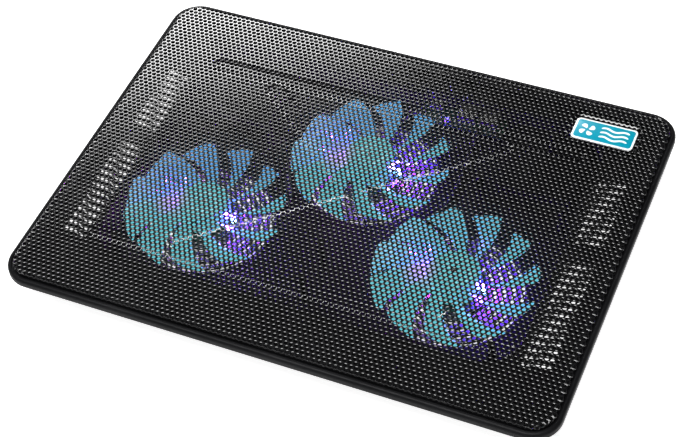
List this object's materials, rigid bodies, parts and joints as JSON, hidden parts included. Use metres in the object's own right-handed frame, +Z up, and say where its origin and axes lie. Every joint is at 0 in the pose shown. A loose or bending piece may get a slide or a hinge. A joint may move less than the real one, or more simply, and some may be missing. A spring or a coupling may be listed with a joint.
{
  "type": "laptop cooling pad",
  "caption": "Flat rectangular notebook cooling pad: perforated steel top over translucent lit fans, thin plastic shell, rear fold-out feet, USB sockets.",
  "frame": {"origin": "on the resting surface, below the middle of the pad", "axes": "+X to the right seen from the front edge, +Y towards the rear edge with the USB sockets, +Z up"},
  "size_m": [0.38, 0.28, 0.028],
  "materials": {
    "shell_plastic": "fine moulded texture, black",
    "frame_plastic": "satin moulded plastic, dark grey",
    "foot_plastic": "fine moulded texture, black",
    "mesh_steel": "perforated steel sheet, satin black powder coat",
    "badge_white": "white printed plate",
    "badge_teal": "turquoise gloss",
    "impeller_teal": "translucent blue-green moulding",
    "bright_steel": "ground steel",
    "magnet": "bonded ferrite",
    "bronze": "sintered bronze",
    "lamination": "stacked electrical steel",
    "copper_wire": "enamelled copper winding",
    "circuit_board": "green solder mask",
    "led_clear": "clear lamp body",
    "lead_pvc": "twin insulated wire, red and black",
    "plated_steel": "nickel-plated shell",
    "insulator": "white contact carrier",
    "black_plastic": "black moulding",
    "rubber_black": "black rubber",
    "screw_steel": "black-zinc screw"
  },
  "bodies": {
    "case": {"bottom_shell": "shell_plastic", "top_frame": "frame_plastic", "mesh_panel": "mesh_steel", "badge_plate": "badge_white", "badge_face": "badge_teal", "bearing_sleeve_left": "bronze", "bearing_sleeve_rear": "bronze", "bearing_sleeve_right": "bronze", "motor_base_left": "shell_plastic", "motor_base_rear": "shell_plastic", "motor_base_right": "shell_plastic", "stator_core_left": "lamination", "stator_core_rear": "lamination", "stator_core_right": "lamination", "stator_coils_left": "copper_wire", "stator_coils_rear": "copper_wire", "stator_coils_right": "copper_wire", "fan_board_left": "circuit_board", "fan_board_rear": "circuit_board", "fan_board_right": "circuit_board", "fan_leds_left": "led_clear", "fan_leds_rear": "led_clear", "fan_leds_right": "led_clear", "fan_lead_left": "lead_pvc", "fan_lead_rear": "lead_pvc", "fan_lead_right": "lead_pvc", "usb_board": "circuit_board", "usb_socket_inner": "plated_steel", "usb_socket_outer": "plated_steel", "usb_tongues": "insulator", "power_led": "led_clear", "switch_body": "plated_steel", "foot_pin_left": "bright_steel", "foot_pin_right": "bright_steel", "bottom_pads": "rubber_black", "case_screws": "screw_steel", "motor_screws": "screw_steel", "board_screws": "screw_steel"},
    "rotor_left": {"impeller_left": "impeller_teal", "fan_shaft_left": "bright_steel", "rotor_magnet_left": "magnet"},
    "rotor_rear": {"impeller_rear": "impeller_teal", "fan_shaft_rear": "bright_steel", "rotor_magnet_rear": "magnet"},
    "rotor_right": {"impeller_right": "impeller_teal", "fan_shaft_right": "bright_steel", "rotor_magnet_right": "magnet"},
    "rear_foot_left": {"foot_left": "foot_plastic", "foot_tip_left": "rubber_black"},
    "rear_foot_right": {"foot_right": "foot_plastic", "foot_tip_right": "rubber_black"},
    "power_switch": {"switch_slider": "black_plastic"}
  },
  "joints": [
    {"name": "fan_spin_left", "type": "hinge", "parent": "case", "child": "rotor_left", "pos_m": [-0.0894, -0.0355, 0.015], "axis": [0, 0, 1], "continuous": true},
    {"name": "fan_spin_rear", "type": "hinge", "parent": "case", "child": "rotor_rear", "pos_m": [0, 0.041, 0.015], "axis": [0, 0, 1], "continuous": true},
    {"name": "fan_spin_right", "type": "hinge", "parent": "case", "child": "rotor_right", "pos_m": [0.0894, -0.0355, 0.015], "axis": [0, 0, 1], "continuous": true},
    {"name": "foot_fold_left", "type": "hinge", "parent": "case", "child": "rear_foot_left", "pos_m": [-0.112, 0.109, 0.0052], "axis": [1, 0, 0], "range_deg": [0, 95]},
    {"name": "foot_fold_right", "type": "hinge", "parent": "case", "child": "rear_foot_right", "pos_m": [0.112, 0.109, 0.0052], "axis": [1, 0, 0], "range_deg": [0, 95]},
    {"name": "power_slide", "type": "slide", "parent": "case", "child": "power_switch", "axis": [1, 0, 0], "range_m": [0, 0.0024]}
  ]
}
